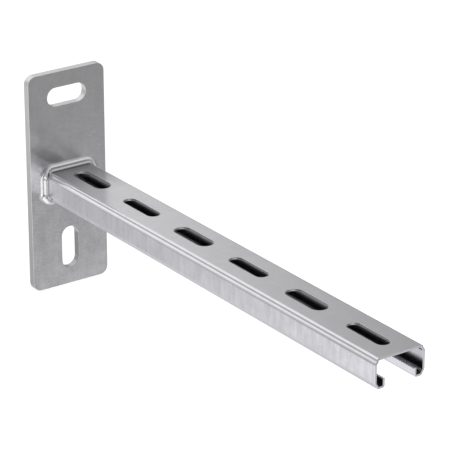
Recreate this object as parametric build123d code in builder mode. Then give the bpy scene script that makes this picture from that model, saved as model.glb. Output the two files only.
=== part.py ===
from build123d import *
import os

# Cantilever strut arm: a slotted channel welded square to an upright wall plate.
# The origin is the centre of the plate's wall face. +X runs out along the arm, +Z is up.
# All lengths are in millimetres.

os.makedirs("parts", exist_ok=True)

# Wall plate
plate_width = 50.0
plate_height = 130.0
plate_thickness = 4.5
plate_corner_radius = 5.0
plate_edge_bevel = 0.4

# Fixing slots in the plate, the upper one level and the lower one upright
fixing_slot_width = 11.0
fixing_slot_length = 25.5
metal_above_upper_slot = 9.25
metal_below_lower_slot = 9.75

# Channel arm
arm_length = 300.0
arm_width = 31.0
arm_height = 16.6
arm_below_plate_top = 58.2
sheet_thickness = 1.25
inside_bend_radius = 0.25

# Stepped shoulder between each flange and its side wall, measured on the middle of the sheet
shoulder_width = 1.325
step_height = 1.275
step_lean = 0.25
shoulder_slope_height = 1.4

# Mouth between the two inturned lips, which are measured to the tips of their teeth
mouth_width = 18.3
lip_height = 5.2
tooth_pitch = 1.75
tooth_depth = 0.7

# Slots along the top of the arm, wide and narrow ones in turn
arm_slot_length = 30.0
wide_slot_width = 10.0
narrow_slot_width = 8.0
arm_slot_pitch = 50.0
first_slot_from_plate = 25.0

# Weld bead round the foot of the arm: a low wide run on the plate and a second run over it
wide_run_leg = 3.3
wide_run_thickness = 1.8
wide_run_corner_radius = 5.0
wide_run_round = 1.6
second_run_leg = 1.9
second_run_thickness = 4.0
second_run_corner_radius = 3.5
second_run_round = 1.7
weld_end_from_mouth = 1.5

# Heights and places that follow from the sizes above
plate_top = plate_height / 2
arm_top = plate_top - arm_below_plate_top
arm_bottom = arm_top - arm_height
arm_middle = (arm_top + arm_bottom) / 2
half_sheet = sheet_thickness / 2
bend_radius = inside_bend_radius + half_sheet
upper_slot_height = plate_top - metal_above_upper_slot - fixing_slot_width / 2
lower_slot_height = metal_below_lower_slot + fixing_slot_length / 2 - plate_top
wall_line = arm_width / 2 - half_sheet
lip_line = mouth_width / 2 + half_sheet
lip_top = arm_bottom + lip_height

# The last slot keeps at least the first slot's distance from its end of the arm
whole_pitches = round((arm_length - 2 * first_slot_from_plate) / arm_slot_pitch, 6)
arm_slot_count = int(whole_pitches) + 1
arm_slot_places = [
    plate_thickness + first_slot_from_plate + arm_slot_pitch * number
    for number in range(arm_slot_count)
]


def folded_half():
    """Corners of the middle of the sheet on the +Y side, from the top flange round to the lip.

    The lip ends one tooth's depth too high, and is cut back to its teeth later.
    """
    shoulder = [
        (wall_line - shoulder_width, arm_top - half_sheet),
        (wall_line - shoulder_width + step_lean, arm_top - half_sheet - step_height),
        (wall_line, arm_top - half_sheet - step_height - shoulder_slope_height),
    ]
    lower_shoulder = [(y, 2 * arm_middle - z) for y, z in reversed(shoulder)]
    lip = [(lip_line, arm_bottom + half_sheet), (lip_line, lip_top + tooth_depth)]
    return shoulder + lower_shoulder + lip


# Sheet section, open at the mouth, and the same section filled in
fold_corners = [(-y, z) for y, z in reversed(folded_half())] + folded_half()

with BuildSketch() as sheet_section:
    with BuildLine():
        fold = FilletPolyline(*fold_corners, radius=bend_radius)
    trace(line_width=sheet_thickness)

with BuildSketch() as filled_section:
    with BuildLine():
        fold = FilletPolyline(*fold_corners, radius=bend_radius)
        Line(fold @ 1, fold @ 0)
    make_face()
    add(sheet_section.sketch)


# Wall plate with its two fixing slots
with BuildPart() as base_plate:
    with BuildSketch(Plane.YZ):
        RectangleRounded(plate_width, plate_height, plate_corner_radius)
        with Locations((0, upper_slot_height)):
            SlotOverall(fixing_slot_length, fixing_slot_width, mode=Mode.SUBTRACT)
        with Locations((0, lower_slot_height)):
            SlotOverall(fixing_slot_length, fixing_slot_width, rotation=90, mode=Mode.SUBTRACT)
    extrude(amount=plate_thickness)
    wall_edges = base_plate.faces().sort_by(Axis.X)[0].edges()
    front_edges = base_plate.faces().sort_by(Axis.X)[-1].edges()
    chamfer(wall_edges + front_edges, length=plate_edge_bevel)

base_plate.part.label = "base_plate"
export_step(base_plate.part, "parts/base_plate.step")


# Channel arm, mouth down, with the slots in its top and the teeth on its lips
with BuildPart() as channel_arm:
    with BuildSketch(Plane.YZ.offset(plate_thickness)):
        add(sheet_section.sketch)
    extrude(amount=arm_length)

    with BuildSketch(Plane.XY.offset(arm_top)):
        with Locations(*[(x, 0) for x in arm_slot_places[0::2]]):
            SlotOverall(arm_slot_length, wide_slot_width)
        with Locations(*[(x, 0) for x in arm_slot_places[1::2]]):
            SlotOverall(arm_slot_length, narrow_slot_width)
    extrude(amount=-arm_height / 2, mode=Mode.SUBTRACT)

    tooth_count = int(arm_length / tooth_pitch) + 2
    teeth_start = plate_thickness + (arm_length - tooth_count * tooth_pitch) / 2
    teeth_end = teeth_start + tooth_count * tooth_pitch
    teeth_line = [(teeth_start, lip_top)]
    for number in range(tooth_count):
        tooth_start = teeth_start + number * tooth_pitch
        teeth_line.append((tooth_start + tooth_pitch / 2, lip_top - tooth_depth))
        teeth_line.append((tooth_start + tooth_pitch, lip_top))
    above_lips = lip_top + 2 * tooth_depth
    with BuildSketch(Plane.XZ):
        with BuildLine():
            Polyline(*teeth_line, (teeth_end, above_lips), (teeth_start, above_lips), close=True)
        make_face()
    extrude(amount=lip_line + sheet_thickness, both=True, mode=Mode.SUBTRACT)

channel_arm.part.label = "channel_arm"
export_step(channel_arm.part, "parts/channel_arm.step")


# Weld bead over the top, down both sides and under each flange as far as the mouth
with BuildPart() as weld_bead:
    with BuildSketch(Plane.YZ.offset(plate_thickness)):
        with Locations((0, arm_middle)):
            RectangleRounded(
                arm_width + 2 * wide_run_leg,
                arm_height + 2 * wide_run_leg,
                wide_run_corner_radius,
            )
    extrude(amount=wide_run_thickness)
    fillet(weld_bead.faces().sort_by(Axis.X)[-1].edges(), radius=wide_run_round)

    with BuildSketch(Plane.YZ.offset(plate_thickness)):
        with Locations((0, arm_middle)):
            RectangleRounded(
                arm_width + 2 * second_run_leg,
                arm_height + 2 * second_run_leg,
                second_run_corner_radius,
            )
    extrude(amount=second_run_thickness)
    fillet(weld_bead.faces().sort_by(Axis.X)[-1].edges(), radius=second_run_round)

    with BuildSketch(Plane.YZ.offset(plate_thickness)):
        add(filled_section.sketch)
        with Locations((0, arm_bottom)):
            Rectangle(mouth_width + 2 * weld_end_from_mouth, arm_height)
    extrude(amount=second_run_thickness, mode=Mode.SUBTRACT)

weld_bead.part.label = "weld_bead"
export_step(weld_bead.part, "parts/weld_bead.step")
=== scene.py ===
"""Studio scene of a cantilever strut arm: a slotted channel welded square to an upright wall plate.

The part's frame is in metres, with +X out from the wall along the arm and +Z up. Sizes are in millimetres.
"""

from __future__ import annotations

import logging
import math
from dataclasses import dataclass, replace
from enum import Enum

import bmesh
import bpy
from bmesh.types import BMesh, BMFace, BMVert
from bpy.types import Material, Node, NodeTree, Object, World
from bpy.types import NodeSocket as Socket
from mathutils import Matrix, Vector, noise

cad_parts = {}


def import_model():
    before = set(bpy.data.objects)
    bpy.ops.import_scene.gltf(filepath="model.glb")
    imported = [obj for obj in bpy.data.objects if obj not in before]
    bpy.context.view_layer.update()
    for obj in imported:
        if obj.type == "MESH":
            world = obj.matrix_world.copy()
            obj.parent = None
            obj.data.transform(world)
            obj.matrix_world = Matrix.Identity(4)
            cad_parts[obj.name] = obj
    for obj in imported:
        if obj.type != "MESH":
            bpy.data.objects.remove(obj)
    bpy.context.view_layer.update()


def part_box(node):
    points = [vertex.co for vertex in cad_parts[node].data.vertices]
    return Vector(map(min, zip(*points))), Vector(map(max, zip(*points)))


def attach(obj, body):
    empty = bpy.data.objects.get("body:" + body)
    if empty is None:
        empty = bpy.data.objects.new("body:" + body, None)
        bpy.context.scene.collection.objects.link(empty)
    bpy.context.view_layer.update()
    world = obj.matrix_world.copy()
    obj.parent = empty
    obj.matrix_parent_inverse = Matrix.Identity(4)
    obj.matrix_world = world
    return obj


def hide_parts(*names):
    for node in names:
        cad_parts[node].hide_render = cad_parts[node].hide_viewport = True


MM = 0.001
BODY = "root"

# Marks on faces that the finishes read
INSIDE = "inside_of_channel"
SIDE_WALL = "side_wall"
FLAT_TOP = "flat_top"
CUT_EDGE = "cut_edge"
SHADE = "shade"

# Edges that turn by more than this are rounded
SHARP = math.radians(32)
FLAT_FACE_WEIGHT = 100

# Axes that measure coordinates in metres by the millimetre
OUTWARD = (1 / MM, 0.0, 0.0)
UPWARD = (0.0, 0.0, 1 / MM)

Colour = tuple[float, float, float]
Pair = tuple[float, float]

log = logging.getLogger("strut_arm")


class Slot(Enum):
    """Material slots of the record."""

    PLATE = "zinc_plate"
    ARM = "galvanised_sheet"
    WELD = "weld_metal"


# Small geometry helpers


def left_of(direction: Vector) -> Vector:
    """Unit vector a quarter turn to the left of a 2-D direction."""
    return Vector((-direction.y, direction.x))


@dataclass(frozen=True)
class Station:
    """A point on the middle line of a folded sheet, with the direction of the sheet's outer side."""

    point: Vector
    normal: Vector


def folded_line(corners: list[Vector], radius: float, steps: int) -> list[Station]:
    """Rounds the corners of a line as a press brake or a roll would.

    Args:
        corners: Corners of the middle line, in order. The outer side lies to the left.
        radius: Bend radius of the middle line.
        steps: Flat facets in each bend.

    Returns:
        Stations along the line, with both ends of each bend among them.
    """
    stations = []
    first = (corners[1] - corners[0]).normalized()
    stations.append(Station(corners[0], left_of(first)))
    for before, corner, after in zip(corners, corners[1:], corners[2:]):
        incoming = (corner - before).normalized()
        outgoing = (after - corner).normalized()
        turn = math.atan2(incoming.cross(outgoing), incoming.dot(outgoing))
        side = -math.copysign(1.0, turn)
        start = corner - incoming * radius * math.tan(abs(turn) / 2)
        centre = start - side * radius * left_of(incoming)
        for step in range(steps + 1):
            normal = left_of(Matrix.Rotation(turn * step / steps, 2) @ incoming)
            stations.append(Station(centre + side * radius * normal, normal))
    last = (corners[-1] - corners[-2]).normalized()
    stations.append(Station(corners[-1], left_of(last)))
    return stations


def half_slot(length: float, width: float, steps: int) -> list[Vector]:
    """Half the outline of a round-ended slot that lies along the first axis.

    Args:
        length: Length over the round ends.
        width: Width of the slot.
        steps: Facets in each quarter circle.

    Returns:
        Points from the left end over the upper side to the right end, about the slot's centre.
    """
    radius = width / 2
    reach = length / 2 - radius
    left = [math.pi - math.pi / 2 * step / steps for step in range(steps + 1)]
    right = [math.pi / 2 - math.pi / 2 * step / steps for step in range(steps + 1)]
    points = [Vector((-reach + radius * math.cos(a), radius * math.sin(a))) for a in left]
    return points + [Vector((reach + radius * math.cos(a), radius * math.sin(a))) for a in right]


def bridge(bm: BMesh, one: list[BMVert], two: list[BMVert], closed: bool = False) -> list[BMFace]:
    """Joins two lines of vertices by a strip of faces.

    Args:
        bm: Mesh to add to.
        one: Vertices of the first line.
        two: As many vertices of the second line.
        closed: Whether the lines are rings.

    Returns:
        The faces of the strip, in order.
    """
    ends = range(0 if closed else 1, len(one))
    return [bm.faces.new([one[end - 1], one[end], two[end], two[end - 1]]) for end in ends]


def linked(name: str, bm: BMesh, material: Material) -> Object:
    """Makes an object of a bmesh and puts it in the scene.

    Args:
        name: Name of the object and of its mesh.
        bm: The mesh, which is freed.
        material: Its material.

    Returns:
        The new object.
    """
    mesh = bpy.data.meshes.new(name)
    bm.to_mesh(mesh)
    bm.free()
    mesh.materials.append(material)
    made = bpy.data.objects.new(name, mesh)
    bpy.context.scene.collection.objects.link(made)
    return made


def new_piece(name: str, bm: BMesh, material: Material) -> Object:
    """Turns a bmesh into a smooth-shaded piece that rides on the part.

    Args:
        name: Name of the piece and of the CAD node that it stands for, apart from its ending.
        bm: The mesh in millimetres, which is freed.
        material: Finish of the piece.

    Returns:
        The new object.
    """
    bmesh.ops.recalc_face_normals(bm, faces=bm.faces)
    bm.transform(Matrix.Scale(MM, 4))
    for face in bm.faces:
        face.smooth = True
    piece = linked(name, bm, material)
    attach(piece, BODY)
    return piece


def ease_edges(piece: Object, width: float, segments: int) -> None:
    """Rounds the sharp edges of a piece and keeps its flat faces flat in the light.

    Args:
        piece: The piece.
        width: Width of the rounding in millimetres.
        segments: Facets across the rounding.
    """
    bevel = piece.modifiers.new("eased_edges", "BEVEL")
    bevel.width = width * MM
    bevel.segments = segments
    bevel.limit_method = "ANGLE"
    bevel.angle_limit = SHARP
    bevel.use_clamp_overlap = True
    weighted = piece.modifiers.new("flat_faces", "WEIGHTED_NORMAL")
    weighted.mode = "FACE_AREA"
    weighted.weight = FLAT_FACE_WEIGHT


# Sub-assemblies


@dataclass(frozen=True)
class Skin:
    """Vertices of one skin of the channel's sheet.

    rails run along its bends, teeth are the lines of its teeth, slots the outlines of its slots, and middle
    holds the ends of the top's middle line.
    """

    rails: list[tuple[BMVert, BMVert]]
    teeth: list[list[BMVert]]
    slots: list[list[BMVert]]
    middle: tuple[BMVert, BMVert]

    def end(self, number: int) -> list[BMVert]:
        """The skin's edge at one end of the channel.

        Args:
            number: 0 for the foot and 1 for the tip.

        Returns:
            Its vertices, from one lip to the other.
        """
        line, half = [rail[number] for rail in self.rails], len(self.rails) // 2
        left, right = (teeth[-number] for teeth in self.teeth)
        return [left, *line[:half], self.middle[number], *line[half:], right]


@dataclass
class ChannelArm:
    """Roll-formed channel, mouth down, with slots in its top and teeth on its two lips.

    foot and tip are the ends along X. top and bottom are heights. Faces within flush of the wall's or the
    top's plane count as part of it. All sizes are in millimetres.
    """

    foot: float
    tip: float
    top: float
    bottom: float
    width: float
    sheet: float = 1.25
    inside_bend: float = 0.25
    shoulder_width: float = 1.325
    step_height: float = 1.275
    step_lean: float = 0.25
    slope_height: float = 1.4
    slope_crown: float = 0.08
    mouth: float = 18.3
    lip_height: float = 5.2
    tooth_pitch: float = 1.75
    tooth_depth: float = 0.7
    slot_length: float = 30.0
    slot_widths: Pair = (10.0, 8.0)
    slot_pitch: float = 50.0
    first_slot: float = 25.0
    bend_steps: int = 6
    slot_steps: int = 10
    edge_round: float = 0.16
    edge_steps: int = 2
    flush: float = 0.0125

    def corners(self) -> list[Vector]:
        """Folds of the sheet.

        Returns:
            Corners of the middle of the sheet, from the left lip over the top to the right lip.
        """
        half = self.sheet / 2
        wall = self.width / 2 - half
        step = wall - self.shoulder_width
        middle = (self.top + self.bottom) / 2
        slope_top = Vector((step + self.step_lean, self.top - half - self.step_height))
        slope_foot = Vector((wall, slope_top.y - self.slope_height))
        crown = left_of((slope_foot - slope_top).normalized()) * self.slope_crown
        crest = (slope_top + slope_foot) / 2 + crown
        shoulder = [Vector((step, self.top - half)), slope_top, crest, slope_foot]
        lower = [Vector((p.x, 2 * middle - p.y)) for p in reversed(shoulder)]
        lip = self.mouth / 2 + half
        right = shoulder + lower + [Vector((lip, self.bottom + half)), Vector((lip, self.lip_top()))]
        left = [Vector((-p.x, p.y)) for p in reversed(right)]
        return left + right

    def lip_top(self) -> float:
        """Height of the lips to the tips of their teeth."""
        return self.bottom + self.lip_height

    def stations(self) -> list[Station]:
        """Stations of the sheet's middle line, from the left lip over the top to the right lip."""
        return folded_line(self.corners(), self.inside_bend + self.sheet / 2, self.bend_steps)

    def slot_places(self) -> list[float]:
        """Distances of the slots' centres from the origin, along X."""
        count = int(round((self.tip - self.foot - 2 * self.first_slot) / self.slot_pitch, 3)) + 1
        return [self.foot + self.first_slot + self.slot_pitch * number for number in range(count)]

    def teeth(self) -> list[Pair]:
        """Line of the teeth along a lip.

        Returns:
            Places along X and heights of the teeth's tips and roots, with both ends of the lip.
        """
        length = self.tip - self.foot
        count = int(length / self.tooth_pitch) + 2
        start = self.foot + (length - count * self.tooth_pitch) / 2
        half_pitch = self.tooth_pitch / 2
        first = math.floor((self.foot - start) / half_pitch) + 1
        last = math.ceil((self.tip - start) / half_pitch) - 1
        marks = [self.foot, *(start + half_pitch * n for n in range(first, last + 1)), self.tip]
        line = []
        for x in marks:
            phase = abs(((x - start) / self.tooth_pitch) % 1.0 - 0.5) * 2
            line.append((x, self.lip_top() - self.tooth_depth * (1 - phase)))
        return line

    def skin(self, bm: BMesh, side: float) -> Skin:
        """Makes one skin of the sheet.

        Args:
            bm: Mesh to add to.
            side: 0.5 for the outer skin and -0.5 for the inner one.

        Returns:
            The skin.
        """
        points = [s.point + s.normal * self.sheet * side for s in self.stations()]
        rails = [
            (bm.verts.new((self.foot, p.x, p.y)), bm.verts.new((self.tip, p.x, p.y)))
            for p in points[1:-1]
        ]
        teeth_lines = []
        for end, rail in ((points[0], rails[0]), (points[-1], rails[-1])):
            line = [bm.verts.new((x, end.x, z)) for x, z in self.teeth()]
            bm.faces.new([rail[0], *line, rail[1]])
            teeth_lines.append(line)
        middle = len(rails) // 2
        for index, (one, two) in enumerate(zip(rails, rails[1:])):
            if index != middle - 1:
                bm.faces.new([one[0], one[1], two[1], two[0]])
        slots, middle_line = self.slotted_top(bm, rails[middle - 1], rails[middle])
        return Skin(rails, teeth_lines, slots, middle_line)

    def slotted_top(self, bm: BMesh, left: tuple, right: tuple) -> tuple[list, tuple]:
        """Makes the flat top with its slots, as one face on each side of the middle line.

        Args:
            bm: Mesh to add to.
            left: Rail at the top's left edge.
            right: Rail at the top's right edge.

        Returns:
            The slots' outlines as closed lists of vertices, and the ends of the middle line.
        """
        height = left[0].co.z
        foot = bm.verts.new((self.foot, 0, height))
        tip = bm.verts.new((self.tip, 0, height))
        right_edge, left_edge, outlines = [foot], [foot], []
        for number, place in enumerate(self.slot_places()):
            outline = half_slot(self.slot_length, self.slot_widths[number % 2], self.slot_steps)
            over = [bm.verts.new((place + p.x, p.y, height)) for p in outline]
            under = [bm.verts.new((place + p.x, -p.y, height)) for p in outline[1:-1]]
            right_edge += over
            left_edge += [over[0], *under, over[-1]]
            outlines.append(over + under[::-1])
        bm.faces.new([*right_edge, tip, right[1], right[0]])
        bm.faces.new([*left_edge, tip, left[1], left[0]])
        return outlines, (foot, tip)

    def build(self, material: Material) -> Object:
        """Builds the channel.

        Args:
            material: Its finish.

        Returns:
            The finished piece.
        """
        bm = bmesh.new()
        names = (INSIDE, SIDE_WALL, FLAT_TOP, CUT_EDGE)
        inside, side_wall, flat_top, cut = (bm.faces.layers.float.new(name) for name in names)
        inner = self.skin(bm, -0.5)
        for face in bm.faces:
            face[inside] = 1.0
        outer = self.skin(bm, 0.5)
        wall, top = self.width / 2 - self.flush, self.top - self.flush
        for face in bm.faces:
            face[side_wall] = float(all(abs(v.co.y) > wall for v in face.verts))
            face[flat_top] = float(all(v.co.z > top for v in face.verts))
        for end in (0, 1):
            bridge(bm, outer.end(end), inner.end(end))
        bare = [bridge(bm, *lines) for lines in zip(outer.teeth, inner.teeth)]
        bare += [bridge(bm, *rings, closed=True) for rings in zip(outer.slots, inner.slots)]
        for face in sum(bare, []):
            face[cut] = 1.0
        piece = new_piece("channel_arm_skin", bm, material)
        ease_edges(piece, self.edge_round, self.edge_steps)
        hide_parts("channel_arm")
        return piece


@dataclass
class WallPlate:
    """Upright flat plate with rounded corners and two fixing slots.

    All sizes are in millimetres. slot_wall_shade is the share of light that painted shade takes from the
    lower slot's upright walls, and upright_within is how far a facet of them may lean.
    """

    front: float
    width: float
    top: float
    bottom: float
    corner: float = 5.0
    slot_width: float = 11.0
    slot_length: float = 25.5
    above_upper: float = 9.25
    below_lower: float = 9.75
    edge_round: float = 0.15
    edge_steps: int = 3
    slot_wall_shade: float = 0.35
    upright_within: float = 0.02
    steps: int = 12

    def half_outline(self) -> list[Vector]:
        """Right half of the plate's outline.

        Returns:
            Points from the middle of its foot round to the middle of its top.
        """
        y, r = self.width / 2, self.corner
        points = [Vector((0, self.bottom))]
        for centre_z, start in ((self.bottom + r, -math.pi / 2), (self.top - r, 0.0)):
            for step in range(self.steps + 1):
                angle = start + math.pi / 2 * step / self.steps
                points.append(Vector((y - r + r * math.cos(angle), centre_z + r * math.sin(angle))))
        return points + [Vector((0, self.top))]

    def upper_slot(self) -> list[Vector]:
        """Right half of the level upper slot.

        Returns:
            Points from the middle of its top edge round to the middle of its bottom edge.
        """
        centre = self.top - self.above_upper - self.slot_width / 2
        outline = half_slot(self.slot_length, self.slot_width, self.steps)
        right = [p for p in outline if p.x > 0]
        below = [Vector((p.x, -p.y)) for p in reversed(right[:-1])]
        ends = [Vector((0, self.slot_width / 2)), Vector((0, -self.slot_width / 2))]
        return [Vector((p.x, centre + p.y)) for p in (ends[0], *right, *below, ends[1])]

    def lower_slot(self) -> list[Vector]:
        """Right half of the upright lower slot.

        Returns:
            Points from its top end round to its bottom end.
        """
        centre = self.bottom + self.below_lower + self.slot_length / 2
        outline = half_slot(self.slot_length, self.slot_width, self.steps)
        return [Vector((p.y, centre - p.x)) for p in outline]

    def build(self, material: Material) -> Object:
        """Builds the plate.

        Args:
            material: Its finish.

        Returns:
            The finished piece.
        """
        bm = bmesh.new()
        loops = [self.half_outline(), self.upper_slot(), self.lower_slot()]
        sheets = []
        for x in (self.front, 0.0):
            rings = []
            for points in loops:
                right = [bm.verts.new((x, p.x, p.y)) for p in points]
                left = [bm.verts.new((x, -p.x, p.y)) for p in points[1:-1]]
                rings.append((right, [right[0], *left, right[-1]]))
            for half in (0, 1):
                outline, upper, lower = (ring[half] for ring in rings)
                bm.faces.new([*outline, *upper, *lower])
            sheets.append([right + left[-2:0:-1] for right, left in rings])
        cut, shade = (bm.faces.layers.float.new(name) for name in (CUT_EDGE, SHADE))
        # The lower slot's upright walls carry painted shade
        for lost, front, back in zip((0.0, 0.0, self.slot_wall_shade), *sheets):
            for wall in bridge(bm, front, back, closed=True):
                upright = abs(wall.verts[0].co.y - wall.verts[1].co.y) < self.upright_within
                wall[cut] = 1.0
                wall[shade] = lost if upright else 0.0
        piece = new_piece("base_plate_body", bm, material)
        ease_edges(piece, self.edge_round, self.edge_steps)
        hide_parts("base_plate")
        return piece


@dataclass(frozen=True)
class WeldRun:
    """One pass of the weld, laid along a stretch of a ring round the foot of the arm.

    start and end are measured in millimetres along the ring from the middle of the arm's top, with the
    near side negative. leg is how far the pass lies out from the channel and rise how far off the plate, at
    its start and at its end. size is its thickness, the swell of each end makes that end fatter, and
    flatness is the share of its thickness that it keeps across the plate. shade is the share of light that
    painted shade takes from the pass.
    """

    start: float
    end: float
    leg: Pair = (2.25, 2.25)
    rise: Pair = (0.35, 0.35)
    size: float = 2.9
    swell: Pair = (0.0, 0.0)
    flatness: float = 0.93
    shade: float = 0.0


@dataclass
class WeldBead:
    """Weld round the foot of the arm, laid in overlapping passes: a low one on the plate and one over it.

    A pass moves over from its first leg and rise to its last in move_over. Its thickness wanders by
    unevenness and ripples by ripple. An end's swell dies out over swell_reach times the pass's radius.
    """

    arm: ChannelArm
    runs: tuple[WeldRun, ...] = (
        WeldRun(-31.5, -14.8),
        WeldRun(-29.6, -16.4, (0.6, 0.75), (1.95, 1.7)),
        WeldRun(-33.4, -25.6, (1.3, 1.3), (1.4, 1.4), size=5.1),
        WeldRun(-17.4, 21.0, (0.95, 2.25), (1.75, 0.35)),
        # The inner top pass carries painted shade
        WeldRun(
            -13.8, 14.8, (0.5, 0.5), (1.95, 1.95), size=2.4, swell=(0.0, 0.15), flatness=0.75, shade=0.25
        ),
        WeldRun(17.0, 33.4),
        WeldRun(17.5, 33.4, (0.75, 0.75), (1.6, 1.6)),
    )
    corner_radius: float = 4.3
    move_over: float = 6.0
    swell_reach: float = 3.0
    unevenness: float = 0.03
    wander_scale: float = 0.45
    wander_spacing: float = 9.0
    ripple: float = 0.012
    ripple_pitch: float = 1.1
    step: float = 0.35
    fewest_rings: int = 8
    facets: int = 18

    def ring_point(self, place: float, leg: float) -> tuple[Vector, Vector]:
        """A place on the ring round the channel.

        Args:
            place: Distance along the channel's own rounded outline from the middle of its top.
            leg: Distance out from the channel.

        Returns:
            The point and the direction that leads away from the channel there.
        """
        arm, radius = self.arm, self.corner_radius
        flat = arm.width / 2 - radius
        turn = radius * math.pi / 2
        upright = arm.top - arm.bottom - 2 * radius
        side, far = math.copysign(1.0, place), abs(place)
        lower = far > flat + turn + upright / 2
        if lower:
            far = 2 * (flat + turn) + upright - far
        if far < flat:
            point, away = Vector((far, arm.top)), Vector((0.0, 1.0))
        elif far < flat + turn:
            angle = (far - flat) / radius
            away = Vector((math.sin(angle), math.cos(angle)))
            point = Vector((flat, arm.top - radius)) + away * radius
        else:
            point = Vector((arm.width / 2, arm.top - radius - (far - flat - turn)))
            away = Vector((1.0, 0.0))
        if lower:
            point.y, away.y = arm.top + arm.bottom - point.y, -away.y
        point += away * leg
        return Vector((side * point.x, point.y)), Vector((side * away.x, away.y))

    def lay(self, bm: BMesh, run: WeldRun) -> None:
        """Lays one pass, as a closed tube with round ends.

        Args:
            bm: Mesh to add to.
            run: The pass.
        """
        length = run.end - run.start
        count = max(int(length / self.step), self.fewest_rings)
        radius = run.size / 2
        fade = self.swell_reach * radius
        rings = []
        for number in range(1, count):
            share = number / count
            along = length * share
            from_end = min(along, length - along)
            cap = math.sqrt(max(1.0 - (1.0 - min(from_end / radius, 1.0)) ** 2, 0.0))
            over = min(along / self.move_over, 1.0)
            over = over * over * (3 - 2 * over)
            leg = run.leg[0] + (run.leg[1] - run.leg[0]) * over
            rise = run.rise[0] + (run.rise[1] - run.rise[0]) * over
            swell = run.swell[0] * max(1.0 - along / fade, 0.0)
            swell += run.swell[1] * max(1.0 - (length - along) / fade, 0.0)
            spot = Vector((run.start + along, run.leg[0] * self.wander_spacing, 0)) * self.wander_scale
            wander = self.unevenness * noise.noise(spot)
            wave = self.ripple * math.sin(2 * math.pi * along / self.ripple_pitch)
            size = radius * cap * (1 + swell + wander + wave)
            point, away = self.ring_point(run.start + along, leg)
            ring = []
            for facet in range(self.facets):
                angle = 2 * math.pi * facet / self.facets
                spot = point + away * size * math.cos(angle)
                x = self.arm.foot + rise + size * run.flatness * math.sin(angle)
                ring.append(bm.verts.new((x, spot.x, spot.y)))
            rings.append(ring)
        faces = sum((bridge(bm, *rings[at : at + 2], closed=True) for at in range(len(rings) - 1)), [])
        for place, leg, rise, ring in zip((run.start, run.end), run.leg, run.rise, (rings[0], rings[-1])):
            point, _ = self.ring_point(place, leg)
            pole = bm.verts.new((self.arm.foot + rise, point.x, point.y))
            faces += [bm.faces.new([ring[i - 1], ring[i], pole]) for i in range(self.facets)]
        # Painted shade on the pass, by its shade share
        shade = bm.faces.layers.float[SHADE]
        for face in faces:
            face[shade] = run.shade

    def build(self, material: Material) -> Object:
        """Builds the bead.

        Args:
            material: Its finish.

        Returns:
            The finished piece.
        """
        bm = bmesh.new()
        bm.faces.layers.float.new(SHADE)
        for run in self.runs:
            self.lay(bm, run)
        piece = new_piece("weld_bead_runs", bm, material)
        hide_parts("weld_bead")
        return piece


# Finishes


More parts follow.
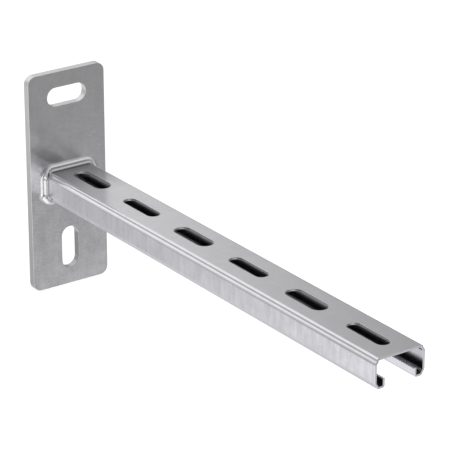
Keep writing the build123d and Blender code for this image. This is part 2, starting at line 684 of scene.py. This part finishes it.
class ShaderTree:
    """A shader tree with short ways to add and link the nodes that the finishes need."""

    def __init__(self, tree: NodeTree) -> None:
        """Keeps the tree.

        Args:
            tree: The node tree of a material, a group or a world.
        """
        self.tree = tree

    def add(self, kind: str, **settings: object) -> Node:
        """Adds a node.

        Args:
            kind: The node's type, without its usual beginning.
            settings: Properties to set on it.

        Returns:
            The node.
        """
        node = self.tree.nodes.new("ShaderNode" + kind)
        for name, value in settings.items():
            setattr(node, name, value)
        return node

    def feed(self, value: object, socket: Socket) -> None:
        """Links an output to a socket, or sets a plain value on it.

        Args:
            value: An output socket or a plain value.
            socket: The input.
        """
        if isinstance(value, Socket):
            self.tree.links.new(value, socket)
        else:
            socket.default_value = value

    def maths(self, operation: str, *values: object, clamp: bool = False) -> Socket:
        """Adds a maths node.

        Args:
            operation: Its operation.
            values: Outputs or numbers, in order.
            clamp: Whether the result is kept from 0 to 1.

        Returns:
            The result.
        """
        node = self.add("Math", operation=operation, use_clamp=clamp)
        for value, socket in zip(values, node.inputs):
            self.feed(value, socket)
        return node.outputs[0]

    def ranged(self, value: object, before: tuple, after: tuple, soft: bool = False) -> Socket:
        """Carries a value from one range to another.

        Args:
            value: The value.
            before: Ends of its range.
            after: Ends of the range to carry it to, as outputs or numbers.
            soft: Whether the ends are eased.

        Returns:
            The new value.
        """
        node = self.add("MapRange", interpolation_type="SMOOTHSTEP" if soft else "LINEAR")
        for part, socket in zip((value, *before, *after), node.inputs):
            self.feed(part, socket)
        return node.outputs["Result"]

    def noise(
        self, where: object, stretch: tuple, scale: object, detail: float, turn: float = 0.0
    ) -> Socket:
        """Adds a noise that can be drawn out along an axis.

        Args:
            where: Coordinates.
            stretch: Factors on X, Y and Z, where a small one draws the noise out.
            scale: Spots for each metre.
            detail: Octaves.
            turn: Turn about X, in degrees.

        Returns:
            The noise, from 0 to 1.
        """
        mapping = self.add("Mapping")
        self.feed(where, mapping.inputs["Vector"])
        mapping.inputs["Scale"].default_value = stretch
        mapping.inputs["Rotation"].default_value = (math.radians(turn), 0, 0)
        texture = self.add("TexNoise")
        self.feed(mapping.outputs["Vector"], texture.inputs["Vector"])
        self.feed(scale, texture.inputs["Scale"])
        texture.inputs["Detail"].default_value = detail
        return texture.outputs["Fac"]

    def mark(self, name: str) -> Socket:
        """How strongly the faces carry a mark, from 0 to 1."""
        return self.add("Attribute", attribute_name=name).outputs["Fac"]

    def spread(self, value: Socket, gain: object) -> Socket:
        """Spreads a value from 0 to 1 out about its middle, by a gain."""
        return self.maths("MULTIPLY_ADD", self.maths("SUBTRACT", value, 0.5), gain, 0.5, clamp=True)

    def mixed(self, share: object, one: object, two: object) -> Socket:
        """Mixes two colours.

        Args:
            share: Share of the second colour.
            one: First colour.
            two: Second colour.

        Returns:
            The mixed colour.
        """
        node = self.add("Mix", data_type="RGBA")
        self.feed(share, node.inputs["Factor"])
        for value, label in ((one, "A"), (two, "B")):
            colour = (*value, 1.0) if isinstance(value, tuple) else value
            self.feed(colour, [i for i in node.inputs if i.name == label and i.type == "RGBA"][0])
        return [o for o in node.outputs if o.type == "RGBA"][0]

    def along(self, where: Socket, axis: tuple, reach: tuple, values: tuple) -> Socket:
        """A value that changes softly along a direction.

        Args:
            where: A direction, or coordinates in metres.
            axis: Unit vector, or OUTWARD or UPWARD for a reach in millimetres.
            reach: Places along the axis where the change starts and ends.
            values: Values before and after the change.

        Returns:
            The value.
        """
        share = self.add("VectorMath", operation="DOT_PRODUCT")
        self.feed(where, share.inputs[0])
        self.feed(axis, share.inputs[1])
        return self.ranged(share.outputs["Value"], reach, values, soft=True)

    def placed(self, group: NodeTree, **values: object) -> Socket:
        """Places a group.

        Args:
            group: The group.
            values: Values for its inputs, by name.

        Returns:
            What the group puts out.
        """
        node = self.add("Group", node_tree=group)
        for name, value in values.items():
            self.feed(value, node.inputs[name])
        return node.outputs[0]


@dataclass(frozen=True)
class NoiseLayer:
    """One noise of a blend: its stretch on X, Y and Z, how much finer it is, its octaves and its share."""

    stretch: tuple[float, float, float]
    finer: float
    octaves: int
    share: float


class EffectGroups:
    """Shader groups that the finishes share, each built once. They put out masks and heights from 0 to 1.

    clouds are soft ones over finer ones, as zinc takes up light unevenly. streaks are upright ones with
    ragged ends, left by the rolls and by the zinc as it ran off.
    """

    EVEN = (1.0, 1.0, 1.0)
    CLOUDS = (NoiseLayer(EVEN, 1.0, 2, 0.65), NoiseLayer(EVEN, 5.3, 3, 0.35))
    STREAKS = (NoiseLayer((1.0, 1.0, 0.16), 1.0, 2, 0.6), NoiseLayer((0.35, 0.35, 0.3), 1.0, 2, 0.4))

    def __init__(self) -> None:
        """Builds the groups."""
        self.clouds = self.build_blend("zinc_clouds", 60.0, 1.6, self.CLOUDS)
        self.streaks = self.build_blend("roll_streaks", 260.0, 2.0, self.STREAKS)
        self.scratches = self.build_scratches()
        self.rubbed = self.build_rubbed()
        self.grain = self.build_grain()

    @staticmethod
    def begin(name: str, numbers: dict[str, float], output: str, vector: bool = True) -> tuple:
        """Begins a group.

        Args:
            name: Its name.
            numbers: Its number inputs and their usual values.
            output: Name of its output.
            vector: Whether it takes coordinates.

        Returns:
            The shader tree, the values that come in by name, and the socket for what goes out.
        """
        tree = bpy.data.node_groups.new(name, "ShaderNodeTree")
        if vector:
            tree.interface.new_socket("Vector", in_out="INPUT", socket_type="NodeSocketVector")
        for label, value in numbers.items():
            socket = tree.interface.new_socket(label, in_out="INPUT", socket_type="NodeSocketFloat")
            socket.default_value = value
        tree.interface.new_socket(output, in_out="OUTPUT", socket_type="NodeSocketFloat")
        into, out = tree.nodes.new("NodeGroupInput"), tree.nodes.new("NodeGroupOutput")
        return ShaderTree(tree), into.outputs, out.inputs[0]

    @classmethod
    def build_blend(cls, name: str, scale: float, contrast: float, layers: tuple) -> NodeTree:
        """Builds a group whose mask is a blend of noises.

        Args:
            name: The group's name.
            scale: Its usual scale, in spots for each metre.
            contrast: Its usual contrast.
            layers: The noises.

        Returns:
            The group.
        """
        shader, into, out = cls.begin(name, {"Scale": scale, "Contrast": contrast}, "Mask")
        total = 0.0
        for layer in layers:
            finer = shader.maths("MULTIPLY", into["Scale"], layer.finer)
            spots = shader.noise(into["Vector"], layer.stretch, finer, layer.octaves)
            total = shader.maths("MULTIPLY_ADD", spots, layer.share, total)
        shader.feed(shader.spread(total, into["Contrast"]), out)
        return shader.tree

    @classmethod
    def build_scratches(cls) -> NodeTree:
        """Sparse hairline scratches in two slanting directions.

        Returns:
            The group.
        """
        shader, into, out = cls.begin("hair_scratches", {"Scale": 900.0, "Amount": 0.3}, "Mask")
        where = into["Vector"]
        slants, drawn_out, thin = (34.0, -52.0), (1.0, 1.0, 0.02), (0.70, 0.78)
        cluster_scale, rare = 70.0, (0.52, 0.62)
        total = 0.0
        for slant in slants:
            lines = shader.noise(where, drawn_out, into["Scale"], 0, slant)
            total = shader.maths("MAXIMUM", total, shader.ranged(lines, thin, (0.0, 1.0)))
        clusters = shader.noise(where, cls.EVEN, cluster_scale, 1)
        sparse = shader.ranged(clusters, rare, (0.0, 1.0), soft=True)
        mask = shader.maths("MULTIPLY", shader.maths("MULTIPLY", total, sparse), into["Amount"])
        shader.feed(mask, out)
        return shader.tree

    @classmethod
    def build_rubbed(cls) -> NodeTree:
        """Edges that handling has rubbed bright, found by how fast the surface turns.

        Returns:
            The group.
        """
        shader, into, out = cls.begin("rubbed_edges", {"Width": 0.0004}, "Mask", vector=False)
        least_and_full_turn = (0.995, 0.85)
        rounded = shader.add("Bevel", samples=6)
        shader.feed(into["Width"], rounded.inputs["Radius"])
        agree = shader.add("VectorMath", operation="DOT_PRODUCT")
        shader.feed(rounded.outputs["Normal"], agree.inputs[0])
        shader.feed(shader.add("NewGeometry").outputs["Normal"], agree.inputs[1])
        shader.feed(shader.ranged(agree.outputs["Value"], least_and_full_turn, (0.0, 1.0)), out)
        return shader.tree

    @classmethod
    def build_grain(cls) -> NodeTree:
        """Relief of the coating: a shallow orange peel with a finer grain on it.

        Returns:
            The group.
        """
        shader, into, out = cls.begin("coating_relief", {"Scale": 700.0, "Fine": 0.35}, "Height")
        where = into["Vector"]
        times_finer = 4.7
        peel = shader.noise(where, cls.EVEN, into["Scale"], 1)
        finer = shader.maths("MULTIPLY", into["Scale"], times_finer)
        fine = shader.maths("MULTIPLY", shader.noise(where, cls.EVEN, finer, 2), into["Fine"])
        shader.feed(shader.maths("ADD", peel, fine), out)
        return shader.tree


@dataclass(frozen=True)
class Coating:
    """Outputs that vary over a coated surface, each from a node of its material.

    colour and rough are the coating's. scratches and rubbed say where it is scratched and where its edges
    are rubbed bright, from 0 to 1. relief is the height of its relief.
    """

    colour: Socket
    rough: Socket
    scratches: Socket
    rubbed: Socket
    relief: Socket


@dataclass(frozen=True)
class ZincFinish:
    """A zinc-coated steel surface.

    colour is the reflectance of the clean metal and dull is that of its duller clouds. The roughness runs
    from bright places to dull ones. streaks and scratches are shares from 0 to 1. relief is in metres.
    contrast says how strongly the clouds and streaks show. Edges that handling rubs bright are smoother,
    and rub is their share. Cut edges are rougher by cut_roughness, and their colour carries a painted
    gradient of light: it changes from cut_foot, painted shade, at the lower end of reach, in millimetres up
    Z, to cut_top, painted light, at its upper end. shaded is the colour of full painted shade.
    """

    name: str
    colour: Colour
    dull: Colour
    roughness: Pair
    cloud_scale: float
    streaks: float
    scratches: float
    relief: float
    contrast: float = 1.0
    edge_roughness: float = 0.14
    rub: float = 0.5
    cut_foot: Colour = (0.55, 0.55, 0.56)
    cut_top: Colour = (0.55, 0.55, 0.56)
    cut_roughness: float = 0.18
    shaded: Colour = (0.05, 0.05, 0.05)
    reach: Pair = (-65.0, 65.0)

    def material(self, groups: EffectGroups) -> Material:
        """Makes the material.

        Args:
            groups: The shared effects.

        Returns:
            The material.
        """
        material = bpy.data.materials.new(self.name)
        material.use_nodes = True
        shader = ShaderTree(material.node_tree)
        surface = material.node_tree.nodes["Principled BSDF"]
        surface.inputs["Metallic"].default_value = 1.0
        where = shader.add("TexCoord").outputs["Object"]
        clouds = shader.placed(groups.clouds, Vector=where, Scale=self.cloud_scale)
        streaks = shader.placed(groups.streaks, Vector=where)
        scratches = shader.placed(groups.scratches, Vector=where, Amount=self.scratches)
        rubbed = shader.maths("MULTIPLY", shader.placed(groups.rubbed), self.rub)
        relief = shader.placed(groups.grain, Vector=where)

        calm = shader.maths("MULTIPLY", clouds, 1.0 - self.streaks)
        uneven = shader.spread(shader.maths("MULTIPLY_ADD", streaks, self.streaks, calm), self.gain(shader))
        colour = shader.mixed(uneven, self.dull, self.colour)
        rough = shader.ranged(uneven, (1.0, 0.0), self.roughness)
        cut = shader.mark(CUT_EDGE)
        # Cut edges carry a painted gradient of light: painted shade at the foot, painted light at the top
        height = shader.along(where, UPWARD, self.reach, (0.0, 1.0))
        colour = shader.mixed(cut, colour, shader.mixed(height, self.cut_foot, self.cut_top))
        # Painted shade where a face carries the shade mark: the lower slot's upright walls and the weld's
        # inner top pass
        colour = shader.mixed(shader.mark(SHADE), colour, self.shaded)
        rough = shader.maths("MULTIPLY_ADD", cut, self.cut_roughness, rough)
        coating = self.dressed(shader, where, Coating(colour, rough, scratches, rubbed, relief))
        self.join(shader, surface, coating)
        return material

    def gain(self, shader: ShaderTree) -> object:
        """Contrast of the clouds and streaks."""
        return self.contrast

    def dressed(self, shader: ShaderTree, where: Socket, coating: Coating) -> Coating:
        """The coating with what a kind of piece adds to it, which is nothing on plain ones."""
        return coating

    def join(self, shader: ShaderTree, surface: Node, coating: Coating) -> None:
        """Joins a coating on the surface's shader.

        Args:
            shader: The material's tree.
            surface: Its shader.
            coating: The coating.
        """
        bright = shader.maths("MAXIMUM", coating.scratches, coating.rubbed)
        shader.feed(shader.mixed(bright, coating.colour, self.colour), surface.inputs["Base Color"])
        polished = shader.add("Mix", data_type="FLOAT")
        shader.feed(coating.rubbed, polished.inputs["Factor"])
        shader.feed(coating.rough, polished.inputs["A"])
        shader.feed(self.edge_roughness, polished.inputs["B"])
        shader.feed(polished.outputs["Result"], surface.inputs["Roughness"])
        bump = shader.add("Bump")
        bump.inputs["Distance"].default_value = self.relief
        shader.feed(shader.maths("SUBTRACT", coating.relief, coating.scratches), bump.inputs["Height"])
        shader.feed(bump.outputs["Normal"], surface.inputs["Normal"])


@dataclass(frozen=True)
class StripFinish(ZincFinish):
    """The channel's strip, with painted shade on its inner side and side walls that the rolls have frosted.

    inner is the colour of the painted shade on the inner side at its darkest, low down in the pockets
    behind the lips, and inner_roughness is added there. Over inner_reach, in millimetres up Z, that painted
    shade falls to inner_share. wall_roughness is added on the side walls, and wall_contrast to their
    unevenness.
    Beside the weld the flat top carries painted shade, whose colour is weld_shade: over toe_reach and
    shade_reach, in millimetres along X, the unshaded share of its colour rises from toe_share and
    shade_share to all of it.
    """

    # Painted shade on the inner side, darkest low down in the pockets
    inner: Colour = (0.18, 0.18, 0.19)
    inner_roughness: float = 0.16
    inner_reach: Pair = (-4.0, 0.5)
    inner_share: float = 0.25
    wall_roughness: float = 0.05
    wall_contrast: float = 1.5
    # Painted shade on the flat top beside the weld
    weld_shade: Colour = (0.10, 0.10, 0.11)
    toe_reach: Pair = (6.8, 9.5)
    toe_share: float = 0.30
    shade_reach: Pair = (10.0, 52.0)
    shade_share: float = 0.27

    def gain(self, shader: ShaderTree) -> object:
        """Contrast of the clouds and streaks, more on the side walls."""
        return shader.maths("MULTIPLY_ADD", shader.mark(SIDE_WALL), self.wall_contrast, self.contrast)

    def dressed(self, shader: ShaderTree, where: Socket, coating: Coating) -> Coating:
        """The coating with painted shade beside the weld and on the inner side, and the walls set apart.

        Args:
            shader: The material's tree.
            where: Coordinates.
            coating: The coating all over.

        Returns:
            The coating as each place has it.
        """
        # Painted shade on the inner side, darkest low down in the pockets behind the lips
        pocket_shade = shader.along(where, UPWARD, self.inner_reach, (1.0, self.inner_share))
        inside = shader.maths("MULTIPLY", shader.mark(INSIDE), pocket_shade)
        # Painted shade on the flat top beside the weld, darkest at its toe and fading out along X; clean is
        # the unshaded share
        toe = shader.along(where, OUTWARD, self.toe_reach, (self.toe_share, 1.0))
        shade_fade = shader.along(where, OUTWARD, self.shade_reach, (self.shade_share, 1.0))
        elsewhere = shader.maths("SUBTRACT", 1.0, shader.mark(FLAT_TOP))
        clean = shader.maths("MAXIMUM", shader.maths("MULTIPLY", toe, shade_fade), elsewhere)
        colour = shader.mixed(inside, shader.mixed(clean, self.weld_shade, coating.colour), self.inner)
        rough = shader.maths("MULTIPLY_ADD", shader.mark(SIDE_WALL), self.wall_roughness, coating.rough)
        rough = shader.maths("MULTIPLY_ADD", inside, self.inner_roughness, rough)
        rubbed = shader.maths("MULTIPLY", coating.rubbed, shader.maths("SUBTRACT", 1.0, inside))
        return replace(coating, colour=colour, rough=rough, rubbed=rubbed)


# Studio


@dataclass(frozen=True)
class SoftCard:
    """A soft patch of light or shade around the object, as a large card gives.

    azimuth is measured from +X towards +Y and elevation from the horizon, to the card's middle. edge and
    core are the angles from there where its light starts and is full. All four are in degrees. strength
    is added to the room's light, and a dark card takes light away.
    """

    azimuth: float
    elevation: float
    edge: float
    core: float
    strength: float

    def direction(self) -> Vector:
        """Where the card stands.

        Returns:
            Unit vector to its middle.
        """
        azimuth, elevation = math.radians(self.azimuth), math.radians(self.elevation)
        level = math.cos(elevation)
        return Vector((level * math.cos(azimuth), level * math.sin(azimuth), math.sin(elevation)))


@dataclass
class Studio:
    """Floor, room light and camera.

    The table's light sets in below the horizon over table_reach, as downward shares of a direction. Its
    strength goes from the first to the last of table_sides over table_turn, as shares towards -Y. The
    camera's aim, distance and shifts are in millimetres, and its clip is in metres.
    """

    floor_height: float
    room: float = 0.36
    cards: tuple[SoftCard, ...] = (
        SoftCard(182, 22, 41, 26, 0.65),
        SoftCard(185, 42, 20, 6, 0.22),
        SoftCard(212.5, 27, 17.5, 9, 0.40),
        SoftCard(221, 6, 13, 4, 0.12),
        SoftCard(145, 22, 9, 2, 0.08),
        SoftCard(222, -10, 16, 7, 0.33),
        SoftCard(228, -32, 15.3, 4, 0.63),
        SoftCard(300, -36, 56, 32, 0.74),
        SoftCard(262, -21, 36, 18, 0.36),
        SoftCard(318, 6, 27, 12, 0.48),
        SoftCard(335, 30, 36, 14, 0.25),
        SoftCard(90, 70, 60, 20, 0.28),
        SoftCard(40, 25, 42, 15, 0.55),
        SoftCard(31.7, -18.5, 8, 2, -0.22),
    )
    table_reach: Pair = (0.335, 0.425)
    table_sides: Pair = (0.50, 0.45)
    table_turn: Pair = (-0.3, 0.6)
    table_tint: Colour = (1.0, 0.99, 1.018)
    floor_reach: float = 6.0
    paper: float = 0.55
    paper_glow: float = 0.75
    azimuth: float = 54.686
    elevation: float = 22.666
    roll: float = -0.061
    lens: float = 210.62
    sensor: float = 36.0
    distance: float = 1382.3
    clip: Pair = (0.05, 50.0)
    aim: tuple[float, float, float] = (154.5, 0.0, 6.8)
    shift_right: float = 2.170
    shift_up: float = 13.941

    def camera(self) -> Object:
        """Makes the camera, a long lens that looks down along the arm from its tip's side.

        Returns:
            The camera.
        """
        azimuth, elevation, roll = (math.radians(v) for v in (self.azimuth, self.elevation, self.roll))
        turn = Matrix.Rotation(azimuth, 4, "Z") @ Matrix.Rotation(math.pi / 2 - elevation, 4, "X")
        turn = turn @ Matrix.Rotation(roll, 4, "Z")
        place = Vector(self.aim) + turn @ Vector((self.shift_right, self.shift_up, self.distance))
        data = bpy.data.cameras.new("camera")
        data.lens = self.lens
        data.sensor_width = self.sensor
        data.clip_start, data.clip_end = self.clip
        camera = bpy.data.objects.new("camera", data)
        camera.matrix_world = Matrix.Translation(place * MM) @ turn
        bpy.context.scene.collection.objects.link(camera)
        bpy.context.scene.camera = camera
        return camera

    def world(self) -> World:
        """Makes the room: white to the camera, and soft cards of light to everything else.

        Returns:
            The world.
        """
        world = bpy.data.worlds.new("studio")
        world.use_nodes = True
        bpy.context.scene.world = world
        world.node_tree.nodes.clear()
        shader = ShaderTree(world.node_tree)
        light = shader.add("Background")
        where = shader.add("TexCoord").outputs["Generated"]
        below = shader.along(where, (0, 0, -1), self.table_reach, (0.0, 1.0))
        shader.feed(self.light_strength(shader, where, below), light.inputs["Strength"])
        shader.feed(shader.mixed(below, (1.0, 1.0, 1.0), self.table_tint), light.inputs["Color"])
        white = shader.add("Background")
        white.inputs["Color"].default_value = (1, 1, 1, 1)
        self.seen_by_camera(shader, light.outputs[0], white.outputs[0], "OutputWorld")
        return world

    def light_strength(self, shader: ShaderTree, where: Socket, below: Socket) -> Socket:
        """Strength of the room's light by direction: the room, the white table and the cards.

        Args:
            shader: The world's tree.
            where: The direction.
            below: Share of the table in that direction.

        Returns:
            The strength.
        """
        table = shader.along(where, (0, -1, 0), self.table_turn, self.table_sides)
        total = shader.maths("MULTIPLY_ADD", below, table, self.room)
        for card in self.cards:
            reach = (math.cos(math.radians(card.edge)), math.cos(math.radians(card.core)))
            patch = shader.along(where, tuple(card.direction()), reach, (0.0, card.strength))
            total = shader.maths("ADD", total, patch)
        return total

    @staticmethod
    def seen_by_camera(shader: ShaderTree, usual: Socket, seen: Socket, output: str) -> None:
        """Shows one shader to the camera and another to everything else.

        Args:
            shader: The tree.
            usual: Shader for everything else.
            seen: Shader for the camera.
            output: Type of the output node, without its usual beginning.
        """
        camera_ray = shader.add("LightPath").outputs["Is Camera Ray"]
        mix = shader.add("MixShader")
        for value, socket in zip((camera_ray, usual, seen), mix.inputs):
            shader.feed(value, socket)
        shader.feed(mix.outputs[0], shader.add(output).inputs["Surface"])

    def floor(self) -> Object:
        """Makes the floor, which keeps the object's shadow and is otherwise white.

        Returns:
            The floor.
        """
        bm = bmesh.new()
        reach = self.floor_reach
        corners = [(-reach, -reach), (reach, -reach), (reach, reach), (-reach, reach)]
        bm.faces.new([bm.verts.new((x, y, self.floor_height * MM)) for x, y in corners])
        material = bpy.data.materials.new("white_paper")
        material.use_nodes = True
        material.node_tree.nodes.clear()
        shader = ShaderTree(material.node_tree)
        paper = shader.add("BsdfDiffuse")
        paper.inputs["Color"].default_value = (self.paper, self.paper, self.paper, 1)
        glow = shader.add("Emission")
        glow.inputs["Strength"].default_value = self.paper_glow
        both = shader.add("AddShader")
        shader.feed(paper.outputs[0], both.inputs[0])
        shader.feed(glow.outputs[0], both.inputs[1])
        self.seen_by_camera(shader, paper.outputs[0], both.outputs[0], "OutputMaterial")
        floor = linked("floor", bm, material)
        floor.visible_glossy = False
        return floor


def main() -> None:
    """Loads the frame, builds and dresses each piece, and sets the studio."""
    logging.basicConfig(level=logging.INFO, format="%(name)s: %(message)s")
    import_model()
    bpy.context.scene.view_settings.view_transform = "Standard"

    plate_low, plate_high = (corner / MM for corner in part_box("base_plate"))
    arm_low, arm_high = (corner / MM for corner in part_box("channel_arm"))
    groups = EffectGroups()
    # The plate's cut edges carry a painted gradient of light, darker at the foot and lighter at the top
    zinc = ZincFinish(
        name="zinc_plated_bar", colour=(0.745, 0.742, 0.75), dull=(0.53, 0.53, 0.535),
        roughness=(0.21, 0.28), cloud_scale=110.0, streaks=0.30, scratches=0.15, relief=0.00002,
        contrast=1.8, rub=0.1, cut_foot=(0.46, 0.46, 0.47), cut_top=(0.72, 0.72, 0.72),
    )
    galvanised = StripFinish(
        name="galvanised_strip", colour=(0.71, 0.707, 0.735), dull=(0.56, 0.56, 0.58),
        roughness=(0.17, 0.24), cloud_scale=120.0, streaks=0.6, scratches=0.12, relief=0.00001,
        contrast=0.5,
    )
    plated = ZincFinish(
        name="plated_weld", colour=(0.66, 0.66, 0.67), dull=(0.61, 0.61, 0.62),
        roughness=(0.15, 0.22), cloud_scale=150.0, streaks=0.2, scratches=0.0, relief=0.00001,
    )

    plate = WallPlate(plate_high.x, plate_high.y - plate_low.y, plate_high.z, plate_low.z)
    arm = ChannelArm(arm_low.x, arm_high.x, arm_high.z, arm_low.z, arm_high.y - arm_low.y)
    pieces = [
        plate.build(zinc.material(groups)),
        arm.build(galvanised.material(groups)),
        WeldBead(arm).build(plated.material(groups)),
    ]
    for piece in pieces:
        log.info("%s: %d faces before modifiers", piece.name, len(piece.data.polygons))

    studio = Studio(plate_low.z)
    studio.world()
    studio.floor()
    studio.camera()


if __name__ == "__main__":
    main()
